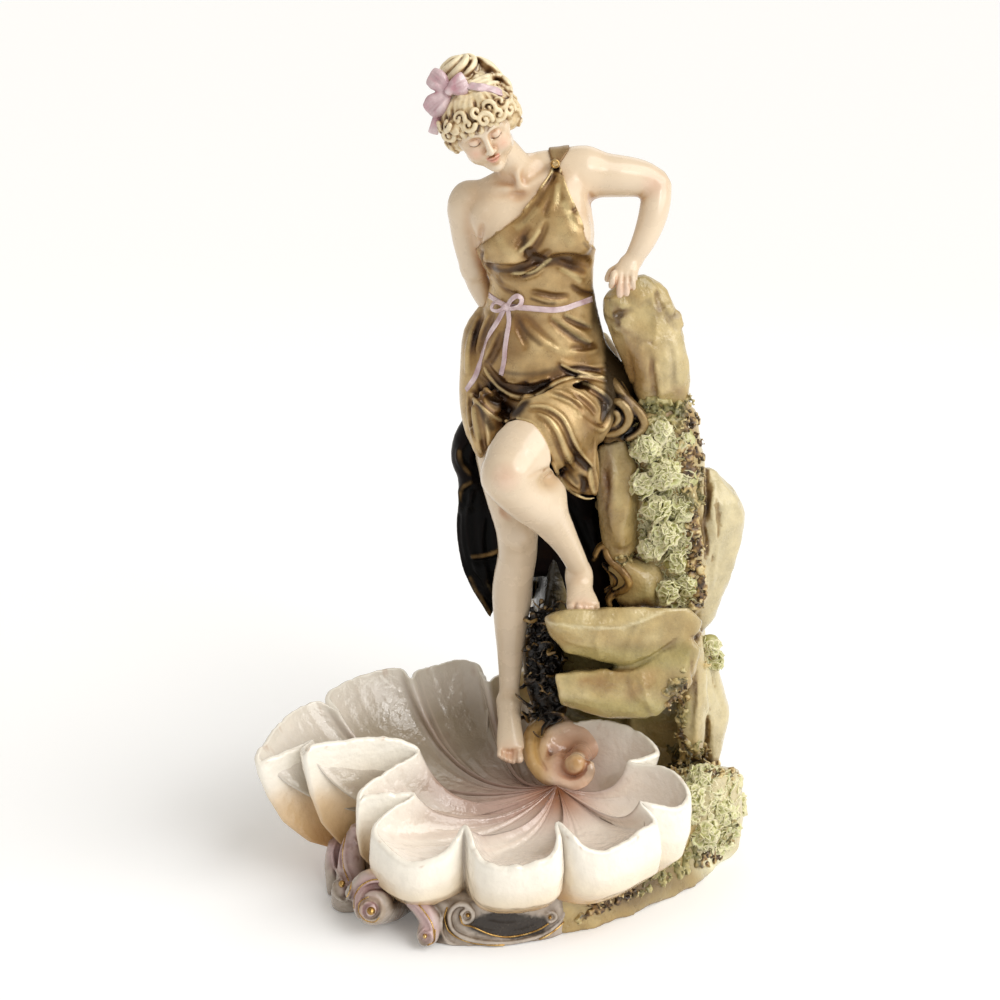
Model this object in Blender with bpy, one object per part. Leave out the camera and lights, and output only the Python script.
"""A porcelain centrepiece: a draped woman leans on a rock and dips one foot into a fluted shell bowl on a scrolled foot.

One hollow-cast, glazed and fired piece, so it is one closed solid. Sizes are in millimetres in the design and
metres in the model; +Z is up and the front looks along -Y. The forms were set out on a front drawing, seen from
slightly above: P(u, v, y) is the point at place u, v of that drawing, at depth y.
"""
import math

import bmesh
import bpy
import numpy as np
from mathutils import Matrix, Vector
from mathutils.bvhtree import BVHTree

# ---------------- driving dimensions, millimetres ----------------
GRAIN = 1.9              # finest detail kept when the clay is worked into one skin
TRIANGLES = 10400        # facets of the finished piece
SOFTEN = 5               # passes that round the worked clay
BOWL_WALL = 5.6          # thickness of the shell's wall
BOWL_FLOOR = 47.0        # height of the bowl's floor
BOWL_UNDER = 17.0        # height of the shell's lowest lobes

# the front drawing: tilt, distance, focal length in drawing units, and the height looked at
TILT, FAR, FOCAL, AIM = math.radians(17.0), 1050.0, 1733.0, 235.0
CT, ST = math.cos(TILT), math.sin(TILT)
EYE = np.array([0.0, -FAR * CT, AIM + FAR * ST])

for old in list(bpy.data.objects):
    bpy.data.objects.remove(old)


# ---------------- setting out ----------------
def ray(u, v):
    a, b = (u - 500.0) / FOCAL, (500.0 - v) / FOCAL
    return np.array([a, CT + b * ST, -ST + b * CT])


def P(u, v, y):
    d = ray(u, v)
    return EYE + d * ((y - EYE[1]) / d[1])


def S(u, v, y, a, b=None, roll=0.0):
    """A station of a limb: its place, its half width and half depth, and its roll."""
    return (P(u, v, y), a, a if b is None else b, roll)


def unit(v):
    v = np.asarray(v, float)
    return v / max(1e-9, np.linalg.norm(v))


def rotm(e):
    """Turn by Euler angles in degrees, about X, then Y, then Z."""
    return np.array((Matrix.Rotation(math.radians(e[2]), 3, "Z") @ Matrix.Rotation(math.radians(e[1]), 3, "Y")
                     @ Matrix.Rotation(math.radians(e[0]), 3, "X")))


def smooth01(t):
    t = np.clip(t, 0, 1)
    return t * t * (3 - 2 * t)


def catmull(pts, sub):
    """Points of a smooth curve through the rows of pts, sub steps a span."""
    p = np.asarray(pts, float)
    if len(p) == 2:
        t = np.linspace(0, 1, sub + 1)[:, None]
        return p[0] * (1 - t) + p[1] * t
    q = np.vstack([2 * p[0] - p[1], p, 2 * p[-1] - p[-2]])
    out = []
    for i in range(1, len(q) - 2):
        for k in range(sub):
            t = k / sub
            a, b, c, d = q[i - 1], q[i], q[i + 1], q[i + 2]
            out.append(0.5 * (2 * b + (c - a) * t + (2 * a - 5 * b + 4 * c - d) * t * t + (3 * b - a - 3 * c + d) * t ** 3))
    out.append(q[-2])
    return np.array(out)


# ---------------- the shapes, each a closed skin added to the clay g ----------------
def loft(g, rings):
    """Rings of points joined by quads, with a flat face on each end."""
    loops = [[g.verts.new(p) for p in r] for r in rings]
    n = len(loops[0])
    for a, b in zip(loops, loops[1:]):
        for i in range(n):
            g.faces.new((a[i], a[(i + 1) % n], b[(i + 1) % n], b[i]))
    g.faces.new(loops[0][::-1])
    g.faces.new(loops[-1])


def limb(g, c, ra, rb, roll, hint, cap, sides):
    T = np.gradient(c, axis=0)
    T /= np.maximum(1e-9, np.linalg.norm(T, axis=1, keepdims=True))
    hv = np.asarray(hint, float)
    N = hv - (T @ hv)[:, None] * T
    N /= np.maximum(1e-9, np.linalg.norm(N, axis=1, keepdims=True))
    B = np.cross(T, N)
    N, B = N * np.cos(roll)[:, None] + B * np.sin(roll)[:, None], B * np.cos(roll)[:, None] - N * np.sin(roll)[:, None]
    th = np.arange(sides) * 2 * math.pi / sides
    co, si = np.cos(th)[:, None], np.sin(th)[:, None]

    def ring(i, size, along):
        return c[i] + T[i] * along + (co * ra[i] * N[i] + si * rb[i] * B[i]) * size

    domes = [math.radians(a) for a in (80, 55, 28)]
    e0, e1 = min(ra[0], rb[0]) * cap, min(ra[-1], rb[-1]) * cap
    rings = [ring(0, math.cos(a), -e0 * math.sin(a)) for a in domes]
    rings += [ring(i, 1.0, 0.0) for i in range(len(c))]
    rings += [ring(-1, math.cos(a), e1 * math.sin(a)) for a in reversed(domes)]
    loft(g, rings)


def tube(g, st, hint=(1, 0, 0), sub=3, cap=0.7):
    """A limb of oval section through stations of point, half width along hint, half depth, roll in degrees."""
    s = catmull(np.array([list(p[0]) + [p[1], p[2] if len(p) > 2 else p[1], p[3] if len(p) > 3 else 0.0] for p in st], float), sub)
    limb(g, s[:, :3], np.maximum(s[:, 3], 0.15), np.maximum(s[:, 4], 0.15), np.radians(s[:, 5]), hint, cap, 20)


def chain(g, pts, r, sub=3):
    """A round string of clay through points, with a radius for each."""
    r = np.broadcast_to(np.asarray(r, float), (len(pts),))
    s = catmull(np.hstack([np.asarray(pts, float), r[:, None]]), sub)
    d = np.abs(s[-1, :3] - s[0, :3])
    hint = np.eye(3)[int(np.argmin(d))]
    limb(g, s[:, :3], np.maximum(s[:, 3], 0.3), np.maximum(s[:, 3], 0.3), np.zeros(len(s)), hint, 1.0, 12)


def egg(g, c, r, e=(0, 0, 0)):
    m = rotm(e) if np.ndim(e) == 1 else np.asarray(e)
    t = Matrix.Translation(Vector(c)) @ Matrix((m * np.asarray(r, float)).tolist()).to_4x4()
    bmesh.ops.create_icosphere(g, subdivisions=3, radius=1.0, matrix=t)


def ball(g, c, r):
    egg(g, c, (r, r, r))


def stroke(g, uvs, r):
    """A ridge drawn on the front of the clay along the drawing's curve."""
    tree = BVHTree.FromBMesh(g)
    on = []
    for u, v in catmull(np.array(uvs, float), 4):
        d = Vector(unit(ray(u, v)))
        hit = tree.ray_cast(Vector(EYE), d)[0]
        if hit is not None:
            on.append(np.array(hit))
    # where a line slips off an edge its depth is taken from its neighbours
    far = np.array([np.linalg.norm(p - EYE) for p in on])
    mid = np.array([np.median(far[max(0, i - 3):i + 4]) for i in range(len(far))])
    pts = [EYE + (p - EYE) / f * (m if abs(f - m) > 6 else f) for p, f, m in zip(on, far, mid)]
    w = np.sin(np.linspace(0.25, math.pi - 0.25, len(pts))) ** 0.5
    chain(g, pts, r * w, sub=1)


def polyhedron(g, c, planes):
    """A block of clay cut by each plane (point, outward normal) in turn."""
    b = bmesh.new()
    bmesh.ops.create_cube(b, size=700.0, matrix=Matrix.Translation(Vector(c)))
    for p, n in planes:
        bmesh.ops.bisect_plane(b, geom=b.verts[:] + b.edges[:] + b.faces[:], dist=0.001, plane_co=Vector(p), plane_no=Vector(n), clear_outer=True)
        open_edges = [x for x in b.edges if x.is_boundary]
        if open_edges:
            bmesh.ops.holes_fill(b, edges=open_edges, sides=0)
    me = bpy.data.meshes.new("cut_block")
    b.to_mesh(me)
    b.free()
    g.from_mesh(me)
    bpy.data.meshes.remove(me)


def boulder(g, c, size, e=(0, 0, 0), cuts=()):
    """A block of half sizes size, turned by e, with corners knocked off by planes (direction, share kept)."""
    c, size, m = np.asarray(c, float), np.asarray(size, float), rotm(e)
    planes = []
    for k in range(3):
        for s in (1, -1):
            n = np.zeros(3)
            n[k] = s
            planes.append((c + m @ (n * size[k]), m @ n))
    for n, f in cuts:
        n = unit(n)
        planes.append((c + m @ (n * f * float(np.abs(n) @ size)), m @ n))
    polyhedron(g, c, planes)


# ---------------- the woman ----------------
TORSO = [S(543, 402, 36, 38, 28), S(541, 370, 33, 39, 28), S(541, 335, 28, 34, 25), S(542, 303, 22, 29.5, 21),
         S(541, 272, 16, 29.5, 21), S(537, 242, 11, 34, 22), S(531, 212, 9, 35, 19), S(526, 190, 9, 30, 14)]
NECK = [S(527, 186, 10, 12, 11), S(519, 170, 4, 8.9, 9.2), S(508, 156, -2, 8.6, 9.4), S(500, 148, -6, 8.5, 9)]
ARM_L = [S(570, 180, 12, 13.5), S(592, 175.5, 14, 13), S(617, 176, 15, 12.2), S(640, 178.5, 17, 10.8), S(656, 184, 18, 8.8)]
FORE_L = [S(657, 186, 18, 8.6), S(655.5, 203, 14, 8.8), S(651, 222, 10, 8.2), S(643, 242, 6, 6.9), S(634, 258, 4, 5.6), S(629, 266, 3, 5.4)]
ARM_R = [S(474, 200, 13, 10.5), S(466, 214, 14, 9.8), S(467, 236, 18, 9.0), S(470, 256, 22, 7.8), S(474, 270, 25, 7.4)]
FORE_R = [S(473, 266, 25, 7.4), S(479, 284, 30, 7.2), S(489, 304, 34, 6.2), S(497, 318, 36, 5.2)]
THIGH_L = [S(585, 392, 36, 27), S(567, 410, 14, 25.5), S(545, 430, -10, 23), S(522, 452, -30, 19.5), S(509, 474, -42, 16.5)]
SHIN_L = [S(507, 474, -43, 15.5, 16), S(515, 488, -42, 14.0), S(529, 500, -36, 13.8), S(541, 508, -32, 13.6), S(553, 523, -26, 11.2), S(566, 543, -19, 8.2), S(576, 562, -13, 6.9), S(579, 573, -9, 7.2)]
LEG_R = [S(508, 400, 34, 25), S(507, 441, 24, 21.0), S(510, 486, 12, 16.6), S(516, 522, 4, 13.4), S(517.5, 540, 4, 12.4), S(517, 558, 8, 12.0), S(512, 587, 13, 12.2), S(511, 620, 14, 10.8), S(510.5, 655, 12, 8.2), S(509.5, 685, 9, 6.4), S(509, 702, 6, 6.2)]


def torso_forms(g, inflate=0.0):
    tube(g, [(c, a + inflate, b + inflate, r) for c, a, b, r in TORSO], sub=3)
    i = inflate
    egg(g, P(508, 247, -6), (13.5 + i, 11 + i, 12.5 + i), (0, 0, -12))
    egg(g, P(567, 235, -7), (14.5 + i, 12 + i, 13.5 + i), (0, 0, 10))
    egg(g, P(541, 362, 14), (24 + i, 16 + i, 22 + i), (0, 0, 0))
    # back of the ribcage, shoulder blades and seat
    egg(g, P(556, 232, 24), (14, 8, 18), (0, 0, 10))
    egg(g, P(505, 238, 24), (13, 8, 17), (0, 0, -10))
    egg(g, P(565, 372, 52), (21 + i, 17 + i, 22 + i))
    egg(g, P(520, 376, 52), (21 + i, 17 + i, 22 + i))


def body(g):
    torso_forms(g)
    # shoulders and chest muscles
    tube(g, [S(519, 172, 8, 8), S(540, 167, 11, 9), S(562, 168, 13, 11), S(580, 172, 14, 13)])
    tube(g, [S(514, 178, 6, 8), S(495, 190, 10, 9), S(478, 200, 12, 10)])
    egg(g, P(555, 205, -1), (16, 9, 14), (0, 0, 0))
    egg(g, P(500, 218, -1), (16, 9, 13), (0, 0, 0))
    # collar bones
    chain(g, [P(519, 190, -7), P(505, 189, -5), P(490, 192, 1), P(477, 196, 6)], [1.2, 1.5, 1.5, 1.2])
    chain(g, [P(526, 188, -6.5), P(540, 180, -3), P(554, 171, 1), P(566, 164, 6)], [1.2, 1.5, 1.5, 1.2])
    tube(g, NECK)
    tube(g, ARM_L, hint=(0, 0, 1))
    tube(g, FORE_L, hint=(1, 0, 0))
    tube(g, ARM_R)
    tube(g, FORE_R)
    egg(g, P(583, 168, 15), (13, 12, 11))
    egg(g, P(467, 204, 14), (10.5, 11, 12))
    # legs
    tube(g, THIGH_L, hint=(0, 0, 1))
    tube(g, SHIN_L)
    egg(g, P(505, 477, -48), (10, 8, 11), (0, 0, 0))          # kneecap
    egg(g, P(546, 498, -24), (11, 11, 14), (0, 30, 0))        # calf
    tube(g, LEG_R)
    egg(g, P(517, 534, -5), (7, 5, 8))
    egg(g, P(514, 590, 20), (10, 9, 17))
    # left foot, flat on the ledge
    chain(g, [P(579, 573, -9), P(580, 586, -7)], [7.0, 7.6])
    egg(g, P(581, 592, 3), (7.2, 9, 8.5))                     # heel
    tube(g, [S(579, 580, -10, 7.5, 7), S(580, 592, -18, 8.2, 6.2), S(582, 600, -26, 9.4, 4.9), S(583, 605, -31, 9.8, 3.6)])
    for i, (u, y, r) in enumerate(((571.5, -34, 3.0), (579, -36.5, 2.3), (585.5, -36, 2.2), (591, -34, 2.1), (596.5, -30, 2.0))):
        a = P(u, 603.5, y + 6)
        b = P(u, 607.5, y)
        chain(g, [a, b], [r * 0.95, r])
    # right foot, toes dipped
    chain(g, [P(509, 700, 6), P(508.5, 714, 4)], [6.3, 7.2])
    egg(g, P(508, 716, 13), (6.4, 7.5, 7))
    tube(g, [S(509, 706, 2, 6.8, 6.5), S(509.5, 723, -6, 7.4, 6.0), S(510, 738, -13, 8.4, 4.8), S(510.5, 748, -18, 8.6, 3.6)])
    for i, (u, v, r) in enumerate(((519, 761, 2.9), (513, 763, 2.2), (508, 762, 2.1), (503.5, 760, 2.0), (499.5, 757, 1.9))):
        chain(g, [P(u - (u - 510) * .15, v - 12, -17), P(u, v - 2, -23)], [r * .95, r])
    hand_left(g)
    hand_right(g)


def hand_left(g):
    # back of the hand over the rock's edge, four fingers down its front, thumb at the inner side
    tube(g, [S(629, 263, 3, 5.6, 4.6), S(627, 270, -1, 6.8, 4.0), S(624.5, 277, -4.5, 7.8, 3.2)])
    for (u0, u1, v1, y1, r) in ((614.5, 611.5, 286, -7, 2.25), (620.5, 619.8, 295, -9, 2.3), (626.5, 626.5, 293.5, -9, 2.25), (632, 633, 288, -7, 2.0)):
        v0 = 274
        chain(g, [P(u0, v0, -5), P((u0 + u1) / 2, (v0 + v1) / 2, -8.6), P(u1, v1, y1)], [r * 1.05, r, r * 0.85], sub=3)
    chain(g, [P(618, 268, 2), P(611, 272, 3), P(607.5, 279, 3)], [2.6, 2.3, 2.0])


def hand_right(g):
    tube(g, [S(495, 314, 36, 5.2, 4.2), S(500, 326, 38, 6.2, 3.6), S(503, 336, 40, 6.0, 3.2)])


# ---------------- the head's own frame: x to the right of the drawing, y out of the face, z up ----------------
HEAD = P(482, 128, -14)
_p, _r = math.radians(20), math.radians(23)


def head_axes():
    ax = []
    for x, y, z in ((1, 0, 0), (0, -math.cos(_p), -math.sin(_p)), (0, -math.sin(_p), math.cos(_p))):
        ax.append((x * math.cos(_r) - z * math.sin(_r), y, x * math.sin(_r) + z * math.cos(_r)))
    return np.array(ax).T


HM = head_axes()


def H(x, y, z):
    return HEAD + HM @ np.array([x, y, z], float)


def head_forms(g):
    egg(g, H(0, -3, 5), (15.6, 18.3, 16.4), HM)
    egg(g, H(0, 4, -6), (12.6, 12.4, 15.6), HM)
    egg(g, H(0, 10.2, -18.0), (4.8, 4.2, 3.8), HM)
    tube(g, [(H(0, -5, -8), 8.8, 9.2), (H(0, -7.5, -18), 8.6, 9.0), (P(508, 158, 0), 8.6, 9.2)])


def hair_forms(g):
    egg(g, H(0, -3, 9.5), (20.5, 20.5, 14.5), HM)
    egg(g, H(-15, -4, 2), (8.5, 14, 11), HM)
    egg(g, H(16, -4, 2), (9, 14, 11), HM)
    egg(g, H(0, -15, -2), (15, 9, 13), HM)
    for x, y, z, r in ((-17, 9, 5, 5.2), (-10, 14.5, 9.5, 5.0), (-2, 16, 11.5, 4.8), (6, 15.5, 10.5, 5.2), (13.5, 13, 8, 5.4), (20.5, 8, 4.5, 5.4), (22.5, 2, -2, 4.5), (-19.5, 5, -3.5, 5.0), (-18.5, 5, -9, 3.6)):
        egg(g, H(x, y, z), (r, r, r), HM)
    egg(g, P(458, 70, -7), (11.0, 10.5, 9.5), (0, 15, 0))
    egg(g, P(478, 78, -4), (10, 10, 7), (0, 15, 0))


# ---------------- the dress ----------------
SKIRT = [S(541, 298, 22, 31.0, 23), S(540, 322, 25, 35.5, 27.5), S(540, 350, 30, 40, 33), S(543, 376, 34, 42.5, 35), S(546, 396, 35, 42, 34)]
HIP_FLAP = [S(488, 310, 34, 6, 8), S(479, 334, 34, 9.5, 13), S(475, 365, 32, 9, 15), S(475, 400, 28, 9.5, 15), S(479, 430, 20, 8.5, 11), S(485, 450, 10, 5, 6), S(487, 459, 5, 2.2, 2.2)]
WRAP = [S(588, 390, 34, 30), S(569, 409, 13, 28.0), S(551, 425, -6, 25.2), S(540, 436, -17, 22.8)]
LAP = [S(566, 432, -8, 11, 12), S(578, 452, -4, 11.5, 10), S(586, 474, -3, 8.5, 7), S(591, 490, -2, 5, 4)]
BACK_DRAPE = [S(540, 400, 50, 38, 22), S(536, 440, 47, 42, 20), S(535, 485, 44, 45, 17), S(538, 530, 41, 46, 14), S(538, 566, 39, 42, 10)]
DRAPE_L = [S(476, 500, 42, 9, 10), S(474, 540, 40, 8.5, 9), S(482, 575, 38, 7, 7), S(491, 609, 36, 2.6, 3)]
DRAPE_R = [S(596, 520, 40, 22, 14), S(590, 565, 37, 25, 12), S(592, 603, 34, 22, 11)]


HANG_L = [S(478, 420, 36, 8, 12), S(468, 440, 38, 9, 12), S(464, 458, 39, 8, 11), S(470, 474, 40, 8, 11), S(474, 500, 41, 9, 11)]
BACK_FOLDS = [[(514, 306, 44), (494, 380, 60), (484, 470, 58), (482, 560, 48)], [(528, 304, 47), (513, 380, 68), (506, 470, 70), (508, 585, 56)],
              [(543, 303, 48), (536, 380, 72), (530, 470, 74), (534, 590, 60)], [(558, 304, 47), (560, 380, 72), (556, 470, 74), (562, 590, 60)],
              [(573, 306, 44), (584, 380, 66), (584, 470, 66), (592, 580, 56)]]
BACK_FOLD_R = [3.5, 7.5, 8, 6]


def dress_forms(g):
    torso_forms(g, 1.4)
    tube(g, SKIRT)
    egg(g, P(560, 385, 55), (24, 20, 24))
    egg(g, P(515, 390, 54), (24, 20, 24))
    tube(g, HIP_FLAP)
    tube(g, WRAP, hint=(0, 0, 1))
    tube(g, LAP)
    tube(g, BACK_DRAPE)
    tube(g, DRAPE_L)
    tube(g, DRAPE_R)
    tube(g, HANG_L)
    for st in BACK_FOLDS:
        chain(g, [P(*p) for p in st], BACK_FOLD_R)
    # gathered cloth between the hip and the rock
    chain(g, [P(598, 384, 26), P(612, 396, 16), P(625, 412, 10), P(618, 426, 8)], [7, 7, 6, 5])
    chain(g, [P(604, 370, 36), P(628, 392, 26), P(640, 412, 20), P(634, 430, 15), P(618, 436, 12)], [6, 5, 5, 5, 4])
    chain(g, [P(603, 556, 24), P(618, 562, 16), P(630, 575, 12), P(624, 590, 10), P(632, 605, 6)], [3.5, 3, 3, 3, 3])


# ---------------- the rock ----------------
def crag_planes(outline, y0, y1, seed=0, front=0.55, back=0.6):
    """A rock's faces: its sides pass through the drawing's outline, and each side is broken towards the front and the back."""
    rng = np.random.RandomState(seed)
    o = np.array(outline, float)
    cu, cv = o.mean(0)
    c = P(cu, cv, (y0 + y1) / 2)
    planes = [(P(cu, cv, y0), unit((rng.uniform(-.18, .18), -1, rng.uniform(-.1, .25)))), (P(cu, cv, y1), unit((rng.uniform(-.2, .2), 1, rng.uniform(-.1, .3))))]
    for i in range(len(o)):
        p, q = o[i], o[(i + 1) % len(o)]
        n = unit(np.cross(ray(*p), ray(*q)))
        a = P(*((p + q) / 2), (y0 + y1) / 2)
        if n @ (c - a) > 0:
            n = -n
        planes.append((a, n))
        t = rng.uniform(0.5, 1.0)
        b = P(*((p + q) / 2), y0 + (y1 - y0) * rng.uniform(back - .12, back + .15))
        planes.append((b, unit(n * math.cos(t) + np.array([0, 1, 0]) * math.sin(t))))
        t = rng.uniform(0.55, 1.05)
        b = P(*((p + q) / 2), y0 + (y1 - y0) * rng.uniform(0.08, 0.3) * front * 2)
        planes.append((b, unit(n * math.cos(t) - np.array([0, 1, 0]) * math.sin(t))))
    return c, planes


def plinth_planes(foot, z0, z1, lean=8.0):
    """A block with the given footprint, from z0 to z1, whose sides lean in by lean degrees."""
    o = np.array(foot, float)
    m = o.mean(0)
    l = math.radians(lean)
    planes = [((m[0], m[1], z0), np.array([0, 0, -1.0])), ((m[0], m[1], z1), np.array([0, 0, 1.0]))]
    for i in range(len(o)):
        p, q = o[i], o[(i + 1) % len(o)]
        n = np.array([q[1] - p[1], p[0] - q[0], 0.0])
        n = unit(n)
        if n[:2] @ (m - p) > 0:
            n = -n
        planes.append((np.array([p[0], p[1], z0]), unit((n[0] * math.cos(l), n[1] * math.cos(l), math.sin(l)))))
    return np.array([m[0], m[1], (z0 + z1) / 2]), planes


CRAGS = [
    # outline on the drawing, front depth, back depth, seed
    ([(605, 296), (622, 279), (646, 275), (665, 286), (677, 315), (690, 372), (687, 416), (646, 424), (620, 358), (603, 318)], 2, 64, 3),
    ([(584, 338), (604, 333), (618, 352), (624, 410), (580, 410)], 48, 92, 5),
    ([(598, 446), (624, 438), (640, 470), (636, 548), (622, 566), (606, 562), (597, 500)], 2, 60, 7),
    ([(608, 566), (630, 556), (656, 566), (668, 592), (664, 614), (640, 618), (616, 600)], 0, 60, 9),
    ([(620, 418), (655, 402), (694, 408), (703, 450), (706, 600), (690, 622), (640, 616), (618, 520)], 8, 78, 11),
    ([(690, 492), (702, 468), (714, 470), (739, 497), (745, 518), (736, 560), (712, 622), (690, 640), (676, 560)], 14, 80, 13),
    ([(545, 618), (560, 611), (620, 608), (690, 610), (702, 622), (697, 634), (640, 662), (624, 667), (566, 652), (549, 632)], -46, 66, 15),
    ([(556, 675), (600, 668), (640, 667), (660, 676), (662, 704), (648, 717), (606, 717), (561, 703)], -46, 66, 17),
    ([(618, 671), (650, 654), (692, 638), (700, 650), (691, 684), (655, 716), (628, 706)], -47, 70, 27),
    ([(681, 640), (701, 632), (708, 700), (700, 760), (681, 764), (677, 700)], -18, 50, 19),
    ([(696, 640), (712, 640), (724, 660), (736, 686), (729, 714), (736, 742), (740, 770), (700, 790), (686, 720)], 0, 78, 21),
    ([(560, 700), (660, 700), (704, 730), (716, 812), (640, 830), (560, 812)], 14, 74, 23),
    ([(660, 776), (700, 764), (738, 770), (743, 806), (738, 848), (716, 872), (660, 880), (640, 830)], -44, 60, 25),
]
BLOCKS = [
    # centre, half sizes, turn, corners knocked off
    ((62, 74, 235), (42, 26, 52), (4, 3, -6), (((1, 1, .6), .8), ((-1, 1, .5), .78), ((-1, -1, -.6), .85), ((.3, 1, 1), .86))),
    ((73, 66, 175), (49, 32, 46), (-5, 4, 10), (((1, 1, .4), .8), ((-1, 1, .3), .8), ((-1, .4, -1), .82), ((.2, 1, 1), .84))),
    ((80, 58, 100), (54, 40, 50), (3, -4, -8), (((1, 1, .4), .8), ((-1, 1, .3), .8), ((1, -.2, 1), .84), ((0, 1, 1), .82))),
    ((46, 78, 262), (28, 14, 22), (8, -6, 14), (((1, 1, 1), .8), ((-1, 1, .5), .8))),
    ((84, 68, 258), (19, 22, 46), (5, 8, 10), (((1, 1, .6), .78), ((-.3, 1, 1), .8))),
    ((100, 58, 60), (38, 30, 40), (6, 5, 28), (((1, 1, .8), .78), ((1, -1, 1), .8), ((-.3, 1, 1), .8))),
    ((40, 72, 60), (34, 24, 38), (-4, -8, -12), (((1, 1, .8), .8), ((-1, 1, .8), .76), ((-1, -.5, 1), .8))),
]
FOOT_ROCK = [(-14, -84), (20, -108), (52, -101), (92, -76), (124, -47), (151, -4), (149, 40), (124, 80), (66, 100), (4, 98), (-26, 66), (-30, 0)]


BLUNT = {15: 0.10, 17: 0.10, 27: 0.10, 7: 0.22, 19: 0.3, 23: 0.2, 11: 0.3, 9: 0.3}       # rocks with a broad front face


def crag(g, spec):
    o, y0, y1, seed = spec
    c, pl = crag_planes(o, y0, y1, seed, front=BLUNT.get(seed, 0.45))
    polyhedron(g, c, pl)


def rock_forms(g):
    for i, spec in enumerate(CRAGS):
        crag(g, spec)
    for c, size, e, cuts in BLOCKS:
        boulder(g, c, size, e, cuts)
    c, pl = plinth_planes(FOOT_ROCK, -3, 46, 10)
    polyhedron(g, c, pl)


# ---------------- the curl at the shell's hinge, the twigs and the moss ----------------
LIP = [(566, 726, 2), (552, 733, -4), (543, 748, -10), (545, 767, -22), (556, 779, -30), (570, 784, -34), (581, 782, -36), (588, 775, -36), (590, 765, -34), (584, 757, -31), (576, 756, -30)]
OUTER_WALL = [(562, 722, 8), (543, 724, 6), (532, 738, -2), (533, 757, -14), (544, 774, -24), (556, 781, -30)]


def curl_forms(g):
    chain(g, [P(*p) for p in LIP], [3.6, 4, 4.4, 4.4, 4.2, 4, 3.8, 3.6, 3.2, 3, 3])
    ball(g, P(574, 765, -31), 6.0)
    chain(g, [P(*p) for p in OUTER_WALL], [4.5, 5.5, 6, 6, 5.5, 4.5])
    egg(g, P(556, 752, -4), (12, 10, 14))
    egg(g, P(566, 768, -22), (13, 9, 11))


TWIGS = [([(540, 604, 26), (532, 640, 22), (538, 690, 18), (552, 716, 10)], [9, 8, 8, 9]),
         ([(556, 622, 22), (552, 660, 20), (556, 706, 16)], [10, 8, 9]),
         ([(532, 655, 26), (522, 652, 26)], [6, 3])]


def twig_forms(g):
    for pts, r in TWIGS:
        chain(g, [P(*p) for p in pts], r)


MOSS = [(660, 430, 6, 9), (682, 440, 10, 10), (646, 448, 2, 9), (664, 474, 3, 12), (686, 476, 11, 10), (644, 484, 3, 9), (656, 508, 2, 10), (680, 508, 10, 10),
        (664, 534, 3, 10), (688, 544, 14, 9), (676, 562, 8, 9), (652, 548, 3, 8), (686, 584, 12, 10), (668, 592, 4, 8), (710, 644, 14, 8), (714, 660, 18, 8),
        (700, 780, -30, 12), (722, 786, -10, 12), (732, 804, 0, 11), (716, 810, -28, 14), (704, 834, -40, 11), (726, 828, -14, 11), (690, 798, -42, 10)]


def moss_forms(g):
    for u, v, y, r in MOSS:
        egg(g, P(u, v, y), (r * .8, r * .7, r * .8))


# ---------------- the scrolled foot ----------------
FRONT = [(-46, -104), (-40, -115), (-8, -119), (30, -111), (40, -102), (40, -66), (-46, -66)]
CORE = [(-86, -34), (-72, -66), (-46, -84), (34, -84), (34, 50), (-44, 52), (-76, 24), (-90, -6)]


def base_forms(g):
    c, pl = plinth_planes(CORE, -3, 36, 3)
    polyhedron(g, c, pl)
    c, pl = plinth_planes(FRONT, -3, 28, 5)
    polyhedron(g, c, pl)
    # the barrel of the left scroll, its face to the front and the left
    chain(g, [P(374, 903, -103), P(388, 901, -84), P(404, 894, -60)], [12.5, 12.5, 12])
    # the band that springs from it to the front foot
    chain(g, [P(353, 893, -97), P(366, 880, -99), P(384, 878, -100), (P(402, 888, -102)), P(418, 903, -108), P(430, 919, -114), P(428, 934, -118)], [4.5, 5.5, 5.5, 5.5, 6, 6.5, 6.5])
    # the far left scroll and its leaves
    chain(g, [P(346, 893, -76), P(350, 903, -68), P(362, 903, -54)], [9, 10.5, 11])
    tube(g, [S(352, 898, -72, 11, 10), S(351, 872, -66, 8.5, 8.5), S(353, 848, -62, 7.5, 7.5), S(358, 829, -58, 5, 6)])
    tube(g, [S(340, 890, -56, 8, 8), S(335, 864, -44, 6.5, 8.5), S(337, 844, -42, 5.5, 7.5)])
    chain(g, [P(350, 862, -36), P(352, 846, -6), P(366, 830, 22)], [11, 12, 10])


# ---------------- folds, hems and bands drawn on the front: place and a factor on the radius ----------------
STRAP = [(549, 149), (557, 154), (563, 162), (562, 174)]
NECK_HEM = [(560, 166), (549, 175), (536, 193), (520, 215), (499, 231), (481, 245)]
ARM_HEM = [(561, 168), (569, 193), (581, 219), (588, 238), (595, 247)]
BELT = [(492, 298), (507, 307), (522, 307), (553, 310), (573, 306), (590, 300)]
SWAGS = [[(484, 368), (494, 382), (504, 392), (518, 398), (533, 397), (550, 387), (568, 378), (585, 376), (602, 379)],
         [(504, 381), (526, 383), (547, 379)], [(563, 366), (580, 372), (604, 377)],
         [(518, 414), (533, 421), (542, 433), (549, 450), (557, 472), (568, 488), (584, 497), (594, 495)],
         [(532, 406), (550, 408), (564, 418), (573, 440), (585, 458), (590, 466)],
         [(554, 391), (573, 397), (583, 408)], [(576, 382), (595, 389), (607, 398), (608, 412)],
         [(471, 394), (482, 408), (495, 418), (507, 421)], [(472, 378), (473, 410), (478, 440)]]
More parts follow.
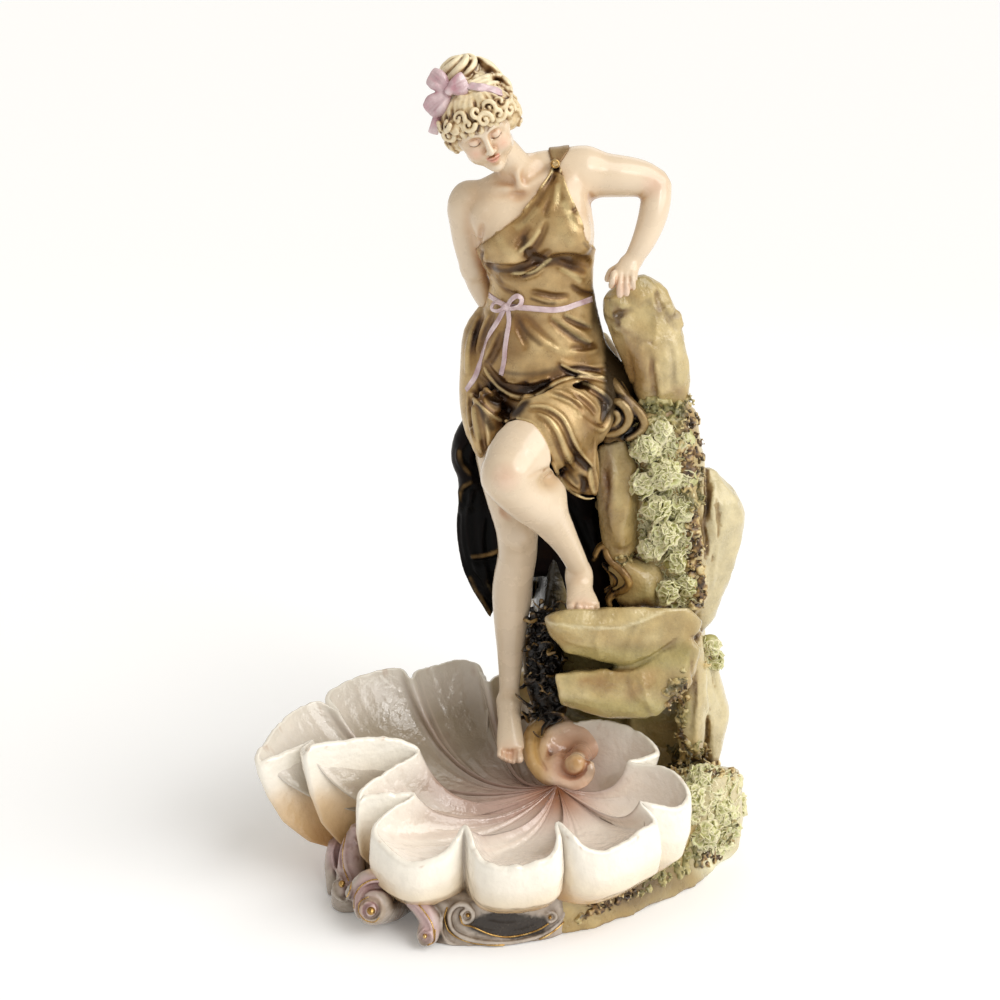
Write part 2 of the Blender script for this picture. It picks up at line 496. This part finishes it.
BODICE = [[(557, 176), (557, 190), (553, 204), (547, 216)], [(562, 180), (568, 200), (577, 218)], [(535, 235), (530, 246), (523, 254)],
          [(516, 274), (532, 268), (549, 257)], [(533, 298), (543, 300), (553, 303)], [(560, 270), (572, 276), (584, 279)],
          [(554, 316), (566, 325), (576, 332), (588, 340)], [(526, 323), (534, 332), (542, 339)], [(504, 322), (500, 340), (494, 356)]]
RIBBONS = [[(504, 307), (497, 322), (488, 338), (481, 361), (475, 378), (466, 390)], [(508, 309), (508, 333), (504, 361), (501, 375)],
           [(508, 306), (514, 298), (521, 299), (519, 307)]]


def fold_forms(g):
    for line in (STRAP, NECK_HEM, ARM_HEM):
        stroke(g, line, 2.0)
    for line in SWAGS:
        stroke(g, line, 2.7)
    for line in BODICE:
        stroke(g, line, 1.9)
    stroke(g, BELT, 2.1)
    for line in RIBBONS:
        stroke(g, line, 1.9)


# ---------------- the shell bowl ----------------
# The rim of the shell, lobe by lobe, on the front drawing with its depth; a notch is where two lobes meet.
RIM = [
    # right back lobe, rising from the curl
    (549, 735, -4, 0), (566, 726, 2, 0), (588, 721, 2, 1), (612, 722, -2, 1), (636, 731, -8, 1), (652, 743, -18, 1), (657, 753, -26, 0),
    (645, 758, -32, 0), (629, 763, -38, -1),
    # right lobe
    (640, 765, -40, 0), (655, 766, -43, 1), (673, 772, -51, 1), (686, 786, -62, 1), (688, 799, -72, 1), (677, 808, -81, 0), (656, 806, -85, 0), (640, 803, -84, -1),
    # front right lobe
    (650, 812, -87, 0), (655, 823, -92, 1), (640, 832, -101, 1), (623, 845, -109, 1), (606, 852, -114, 1), (589, 850, -116, 1), (574, 838, -114, 0), (557.5, 823, -105, -1),
    # front middle lobe
    (559, 840, -113, 0), (551, 857, -120, 1), (528, 865, -124, 1), (500, 867, -125, 1), (482, 861, -121, 1), (473, 846, -114, 0), (465, 826, -103, -1),
    # front left lobe
    (455, 842, -109, 0), (440, 856, -114, 1), (418, 863, -117, 1), (398, 858, -113, 1), (382, 844, -104, 1), (374, 829, -95, 0), (388, 812, -84, 0), (414, 795, -72, -1),
    # small folded lobe
    (392, 795, -73, 0), (366, 797, -75, 1), (360, 803, -78, 1), (362, 790, -70, 0), (386, 772, -57, 0), (417, 753, -42, -1),
    # left lobe
    (405, 743, -39, 0), (378, 738, -41, 1), (342, 742, -47, 1), (314, 746, -54, 1), (306, 753, -57, 1), (303, 748, -46, 0), (312, 741, -30, -1),
    # far left lobe
    (296, 749, -39, 0), (276, 757, -47, 1), (261, 762, -51, 1), (257, 755, -46, 1), (266, 742, -31, 1), (283, 720, -8, 1), (305, 706, 8, 1), (322, 703, 13, 0), (338, 712, 10, -1),
    # back left lobe
    (329, 702, 17, 0), (328, 695, 22, 1), (336, 688, 28, 1), (357, 678, 39, 1), (381, 671, 47, 1), (401, 670, 50, 0), (411, 679, 42, -1),
    # back lobe
    (417, 671, 52, 0), (436, 666, 60, 1), (458, 661, 66, 1), (476, 664, 65, 1), (482, 673, 58, 0), (488, 683, 48, -1),
    # hidden back lobe, behind the leg
    (497, 677, 57, 0), (514, 673, 62, 1), (531, 677, 58, 0), (540, 692, 40, 0), (545, 716, 14, 0),
]
HINGE = P(557, 776, -40)
MID = np.array([-16.0, -26.0, 0.0])


def shell_surface(ns=640, nin=64, nrim=8, nout=44, ribs=1.0, chips=1.0, wall=3.4, fine=0.0):
    """The fluted bowl as one closed surface: up the inside from the hinge, over the rim and down the outside."""
    ctl = np.array([np.append(P(u, v, y), k) for u, v, y, k in RIM])
    n = len(ctl)
    # closed smooth curve through the control points, evenly stepped
    q = np.vstack([ctl[-2:], ctl, ctl[:3]])
    sub = 24
    dense = []
    for i in range(2, n + 2):
        a, b, c, d = q[i - 1], q[i], q[i + 1], q[i + 2]
        for t in np.arange(sub) / sub:
            dense.append(0.5 * (2 * b + (c - a) * t + (2 * a - 5 * b + 4 * c - d) * t * t + (3 * b - a - 3 * c + d) * t ** 3))
    dense = np.array(dense)
    L = np.r_[0, np.cumsum(np.linalg.norm(np.diff(np.vstack([dense, dense[:1]])[:, :3], axis=0), axis=1))]
    at = np.linspace(0, L[-1], ns, endpoint=False)
    dd = np.vstack([dense, dense[:1]])
    rim = np.stack([np.interp(at, L, dd[:, k]) for k in range(3)], 1)
    kind = np.interp(at, L, dd[:, 3])                     # 1 on a lobe, -1 in a notch
    frontness = smooth01((-(rim[:, 1]) - 30) / 60.0)
    out = rim[:, :2] - MID[:2]
    outn = out / np.linalg.norm(out, axis=1, keepdims=True)
    # normal of the rim in plan, smoothed, for the wall's thickness
    rows = []
    T = np.roll(rim, -2, 0) - np.roll(rim, 2, 0)
    off = np.stack([T[:, 1], -T[:, 0]], 1)
    off /= np.maximum(1e-6, np.linalg.norm(off, axis=1, keepdims=True))
    for _ in range(max(2, int(6 * ns / 640))):
        off = (np.roll(off, 1, 0) + off + np.roll(off, -1, 0)) / 3
    off = off / np.maximum(0.6, np.linalg.norm(off, axis=1, keepdims=True))
    if (off * outn).sum() < 0:
        off = -off
    w = wall
    hz = HINGE[2]
    rho = np.linspace(0, 1, nin)
    for r in rho:
        f = r
        # the lines sweep round a little as they leave the hinge
        xy = HINGE[:2] + (rim[:, :2] - HINGE[:2]) * f
        bend = 9.0 * math.sin(math.pi * f) * (1 - f)
        t = rim[:, :2] - HINGE[:2]
        ln = np.linalg.norm(t, axis=1, keepdims=True)
        perp = np.stack([-t[:, 1], t[:, 0]], 1) / ln
        xy = xy + perp * bend * np.clip(ln / 90.0, 0, 1) - off * (0.5 * w * f ** 5)
        far = np.clip(ln[:, 0] / 100.0, 0.0, 1.0)
        floor = BOWL_FLOOR + (hz - 6 - BOWL_FLOOR) * np.clip(1 - f / 0.55, 0, 1) ** 2
        floor = floor * far + (hz - 8) * (1 - far)
        rise = (rim[:, 2] - floor) * (0.10 * f * f + 0.90 * f ** 6)
        z = floor + rise
        rib = np.clip(-kind, 0, 1) ** 1.2 - 0.45 * np.clip(kind, 0, 1)
        z = z + ribs * 3.2 * rib * math.sin(math.pi * min(1, f * 1.02)) ** 0.8 * far
        if fine:
            z = z + fine * (np.cos(2 * math.pi * kind) ** 3 - .2) * math.sin(math.pi * min(1, f * 1.02)) * np.clip(ln[:, 0] / 60.0, 0.0, 1.0)
            q = np.column_stack([xy, z])
            z = z + fine * .55 * noise(q, 8.0, 19, 3) * np.clip(f * 2 - .5, 0, 1)
        rows.append(np.column_stack([xy, z]))
    # over the rim
    for k in range(1, nrim + 1):
        a = math.pi * k / nrim
        xy = rim[:, :2] - off * (0.5 * w * math.cos(a))
        z = rim[:, 2] + 0.5 * w * math.sin(a) * 0.9 - 0.4 * w * (1 - math.cos(a)) / 2
        rows.append(np.column_stack([xy, z]))
    top = rows[-1]
    sig = np.linspace(0, 1, nout + 1)[1:]
    for s in sig:
        sf = np.interp(s, [0, .12, .3, .5, .7, .85, 1], [1, 1.012, 1.025, 1.01, .93, .80, .45])
        sl = np.interp(s, [0, .12, .3, .5, .7, .85, 1], [1, .985, .93, .85, .75, .66, .40])
        sc = sf * frontness + sl * (1 - frontness)
        d = top[:, :2] - MID[:2]
        xy = MID[:2] + d * sc[:, None]
        zb = BOWL_UNDER + 4 * (1 - frontness)
        z = top[:, 2] + (zb - top[:, 2]) * np.interp(s, [0, .12, .3, .5, .7, .85, 1], [0, .12, .36, .62, .86, .97, 1.05])
        # grooves between the lobes soften downwards
        if s > 0.45:
            g = smooth01((s - 0.45) / 0.55)
            m = xy.copy()
            kk = max(1, int(ns * 0.012))
            av = sum(np.roll(m, j, 0) for j in range(-kk * 2, kk * 2 + 1)) / (4 * kk + 1)
            xy = m * (1 - 0.65 * g) + av * 0.65 * g
        rows.append(np.column_stack([xy, z]))
    return rows


def shell_bowl(g):
    loft(g, shell_surface())


# ---------------- the clay, worked into one skin ----------------
clay = bmesh.new()
for form in (body, head_forms, hair_forms, dress_forms, rock_forms, twig_forms, moss_forms, curl_forms, base_forms, shell_bowl, fold_forms):
    form(clay)
bmesh.ops.transform(clay, matrix=Matrix.Scale(0.001, 4), verts=clay.verts)
mesh = bpy.data.meshes.new("centerpiece")
clay.to_mesh(mesh)
clay.free()
piece = bpy.data.objects.new("centerpiece", mesh)
bpy.context.scene.collection.objects.link(piece)

skin = piece.modifiers.new("one_skin", "REMESH")
skin.mode = "VOXEL"
skin.voxel_size = GRAIN * 0.001
skin.adaptivity = 0.0
soft = piece.modifiers.new("softened", "SMOOTH")
soft.factor = 0.5
soft.iterations = SOFTEN


def settle(ob):
    """Gives the object the mesh that its modifiers make."""
    bpy.context.view_layer.update()
    done = bpy.data.meshes.new_from_object(ob.evaluated_get(bpy.context.evaluated_depsgraph_get()))
    ob.modifiers.clear()
    ob.data = done
    return done


worked = settle(piece)
facets = piece.modifiers.new("facets", "DECIMATE")
facets.ratio = TRIANGLES / sum(len(p.vertices) - 2 for p in worked.polygons)
facets.use_collapse_triangulate = True
settle(piece)

# crumbs left by the working are picked off, so that one closed body remains
b = bmesh.new()
b.from_mesh(piece.data)
left, bodies = set(b.verts), []
while left:
    body_verts, edge = set(), [left.pop()]
    body_verts.update(edge)
    while edge:
        for e in edge.pop().link_edges:
            for w in e.verts:
                if w in left:
                    left.discard(w)
                    body_verts.add(w)
                    edge.append(w)
    bodies.append(body_verts)
main = max(bodies, key=len)
bmesh.ops.delete(b, geom=[v for v in b.verts if v not in main], context="VERTS")
b.to_mesh(piece.data)
b.free()

# the foot is ground flat where it stands
floor_mesh = bpy.data.meshes.new("ground_away")
box = bmesh.new()
bmesh.ops.create_cube(box, size=1.0, matrix=Matrix.Translation((0, 0, -0.02)) @ Matrix.Diagonal((0.6, 0.6, 0.04, 1.0)))
box.to_mesh(floor_mesh)
box.free()
ground = bpy.data.objects.new("ground_away", floor_mesh)
bpy.context.scene.collection.objects.link(ground)
ground.hide_render = True
ground.display_type = "WIRE"
flat = piece.modifiers.new("flat_foot", "BOOLEAN")
flat.operation = "DIFFERENCE"
flat.solver = "EXACT"
flat.object = ground

# the middle of the plan stands on the origin
bpy.context.view_layer.update()
shape = piece.evaluated_get(bpy.context.evaluated_depsgraph_get()).to_mesh()
xs = [p.co.x for p in shape.vertices]
ys = [p.co.y for p in shape.vertices]
piece.location = (-(min(xs) + max(xs)) / 2, -(min(ys) + max(ys)) / 2, 0.0)

# ---------------- glazed porcelain ----------------
glaze = bpy.data.materials.new("glazed_porcelain")
glaze.use_nodes = True
bsdf = glaze.node_tree.nodes["Principled BSDF"]
bsdf.inputs["Base Color"].default_value = (0.62, 0.53, 0.38, 1.0)
bsdf.inputs["Roughness"].default_value = 0.22
bsdf.inputs["Metallic"].default_value = 0.0
bsdf.inputs["Coat Weight"].default_value = 0.6
piece.data.materials.append(glaze)
for poly in piece.data.polygons:
    poly.use_smooth = True
